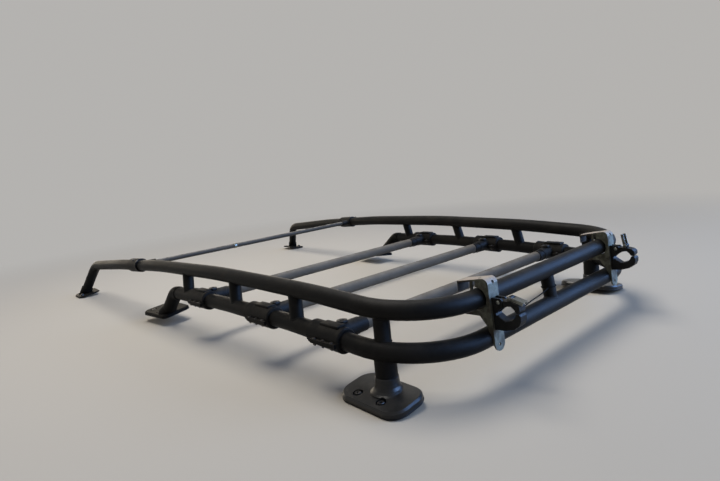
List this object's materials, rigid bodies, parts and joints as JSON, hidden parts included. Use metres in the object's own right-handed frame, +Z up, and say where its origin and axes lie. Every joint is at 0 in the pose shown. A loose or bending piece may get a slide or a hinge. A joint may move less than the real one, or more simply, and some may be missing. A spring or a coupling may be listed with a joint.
{
  "type": "roof rack",
  "caption": "Tubular roof rack for an off-road vehicle: upper and lower hoop rails on feet, sliding clamped crossbars and hinged tool clamps at the rear.",
  "frame": {"origin": "middle of the four bolts of the two rear feet, at the height of the middle of the rear feet's tilted undersides", "axes": "+X to the vehicle's left, +Y to its rear, +Z up from the roof"},
  "size_m": [1.34, 2.3176, 0.2401],
  "materials": {
    "rail_paint": "satin black powder coat with a fine grain",
    "foot_moulding": "dark grey moulded cover, slightly glossy",
    "clamp_moulding": "black moulded clamp, fine grain",
    "knob_plastic": "black moulded hand knob",
    "bracket_steel": "dull galvanised sheet, stained",
    "jaw_rubber": "black rubbery moulding",
    "lever_steel": "plated steel lever",
    "cord_black": "thin black cord"
  },
  "bodies": {
    "rack": {"upper_rail": "rail_paint", "lower_rail": "rail_paint", "post_rear_centre": "rail_paint", "post_a_left": "rail_paint", "post_b_left": "rail_paint", "post_c_left": "rail_paint", "rear_leg_left": "rail_paint", "rear_foot_left": "foot_moulding", "middle_foot_left": "foot_moulding", "front_foot_left": "foot_moulding", "front_bar_clamp_left": "clamp_moulding", "tool_bracket_left": "bracket_steel", "lower_jaw_left": "jaw_rubber", "post_a_right": "rail_paint", "post_b_right": "rail_paint", "post_c_right": "rail_paint", "rear_leg_right": "rail_paint", "rear_foot_right": "foot_moulding", "middle_foot_right": "foot_moulding", "front_foot_right": "foot_moulding", "front_bar_clamp_right": "clamp_moulding", "tool_bracket_right": "bracket_steel", "lower_jaw_right": "jaw_rubber", "front_bar": "rail_paint", "lanyard": "cord_black"},
    "clamp_front_left": {"crossbar_front_clamp_left": "clamp_moulding", "crossbar_front_knob_left": "knob_plastic"},
    "clamp_front_right": {"crossbar_front_clamp_right": "clamp_moulding", "crossbar_front_knob_right": "knob_plastic"},
    "bar_front": {"crossbar_front": "rail_paint"},
    "clamp_middle_left": {"crossbar_middle_clamp_left": "clamp_moulding", "crossbar_middle_knob_left": "knob_plastic"},
    "clamp_middle_right": {"crossbar_middle_clamp_right": "clamp_moulding", "crossbar_middle_knob_right": "knob_plastic"},
    "bar_middle": {"crossbar_middle": "rail_paint"},
    "clamp_rear_left": {"crossbar_rear_clamp_left": "clamp_moulding", "crossbar_rear_knob_left": "knob_plastic"},
    "clamp_rear_right": {"crossbar_rear_clamp_right": "clamp_moulding", "crossbar_rear_knob_right": "knob_plastic"},
    "bar_rear": {"crossbar_rear": "rail_paint"},
    "jaw_left": {"upper_jaw_left": "jaw_rubber"},
    "lever_left": {"clamp_lever_left": "lever_steel"},
    "jaw_right": {"upper_jaw_right": "jaw_rubber"},
    "lever_right": {"clamp_lever_right": "lever_steel"}
  },
  "joints": [
    {"name": "front_left_slide", "type": "slide", "parent": "rack", "child": "clamp_front_left", "axis": [-0.0558, 0.9984, 0.0106], "range_m": [-0.018, 0.04]},
    {"name": "front_right_slide", "type": "slide", "parent": "rack", "child": "clamp_front_right", "axis": [0.0558, 0.9984, 0.0106], "range_m": [-0.018, 0.04]},
    {"name": "front_bar_slide", "type": "slide", "parent": "rack", "child": "bar_front", "axis": [0, 0.9999, 0.0107], "range_m": [-0.018, 0.04]},
    {"name": "middle_left_slide", "type": "slide", "parent": "rack", "child": "clamp_middle_left", "axis": [-0.0537, 0.9984, -0.0193], "range_m": [-0.04, 0.04]},
    {"name": "middle_right_slide", "type": "slide", "parent": "rack", "child": "clamp_middle_right", "axis": [0.0537, 0.9984, -0.0193], "range_m": [-0.04, 0.04]},
    {"name": "middle_bar_slide", "type": "slide", "parent": "rack", "child": "bar_middle", "axis": [0, 0.9998, -0.0194], "range_m": [-0.04, 0.04]},
    {"name": "rear_left_slide", "type": "slide", "parent": "rack", "child": "clamp_rear_left", "axis": [-0.0505, 0.9974, -0.0517], "range_m": [-0.03, 0.03]},
    {"name": "rear_right_slide", "type": "slide", "parent": "rack", "child": "clamp_rear_right", "axis": [0.0505, 0.9974, -0.0517], "range_m": [-0.03, 0.03]},
    {"name": "rear_bar_slide", "type": "slide", "parent": "rack", "child": "bar_rear", "axis": [0, 0.9987, -0.0518], "range_m": [-0.03, 0.03]},
    {"name": "jaw_left_hinge", "type": "hinge", "parent": "rack", "child": "jaw_left", "pos_m": [0.285, 0.176, 0.18], "axis": [1, 0, 0], "range_deg": [0, 30]},
    {"name": "lever_left_hinge", "type": "hinge", "parent": "jaw_left", "child": "lever_left", "pos_m": [0.285, 0.2005, 0.19], "axis": [1, 0, 0], "range_deg": [0, 115]},
    {"name": "jaw_right_hinge", "type": "hinge", "parent": "rack", "child": "jaw_right", "pos_m": [-0.285, 0.176, 0.18], "axis": [1, 0, 0], "range_deg": [0, 30]},
    {"name": "lever_right_hinge", "type": "hinge", "parent": "jaw_right", "child": "lever_right", "pos_m": [-0.285, 0.2005, 0.19], "axis": [1, 0, 0], "range_deg": [-115, 0]}
  ],
  "couplings": [
    {"joint": "front_right_slide", "follows": "front_left_slide", "ratio": 1},
    {"joint": "front_bar_slide", "follows": "front_left_slide", "ratio": 0.99844},
    {"joint": "middle_right_slide", "follows": "middle_left_slide", "ratio": 1},
    {"joint": "middle_bar_slide", "follows": "middle_left_slide", "ratio": 0.99856},
    {"joint": "rear_right_slide", "follows": "rear_left_slide", "ratio": 1},
    {"joint": "rear_bar_slide", "follows": "rear_left_slide", "ratio": 0.99873}
  ]
}
